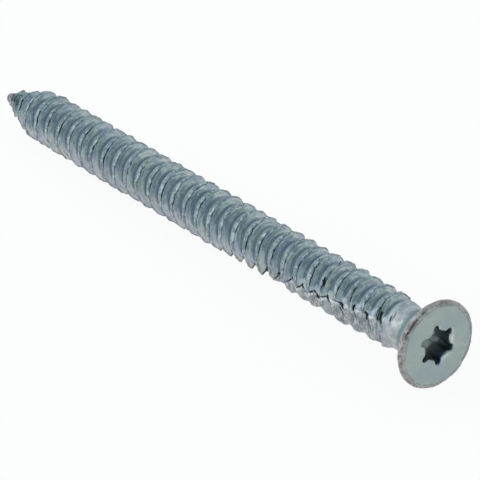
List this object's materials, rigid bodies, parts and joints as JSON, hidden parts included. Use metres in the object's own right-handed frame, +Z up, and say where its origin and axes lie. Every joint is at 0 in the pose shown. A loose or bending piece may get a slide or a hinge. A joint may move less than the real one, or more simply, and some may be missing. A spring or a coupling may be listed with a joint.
{
  "type": "concrete screw",
  "caption": "Countersunk steel concrete screw with a coarse rolled thread to its blunt tapered tip, a short plain neck and a lobed drive recess; cuts its own thread in masonry.",
  "frame": {"origin": "under the middle of the lying screw, on the surface that it rests on", "axes": "+X from the tip towards the head, along the screw; +Z up; the screw's own axis leans up towards the head by about 1.6 degrees, because the head is wider than the thread"},
  "size_m": [0.0962, 0.0122, 0.0121],
  "materials": {
    "zinc_plate": "blue zinc plating over rolled steel, satin, darker and rougher along the crests"
  },
  "bodies": {
    "root": {"screw": "zinc_plate"}
  },
  "joints": []
}
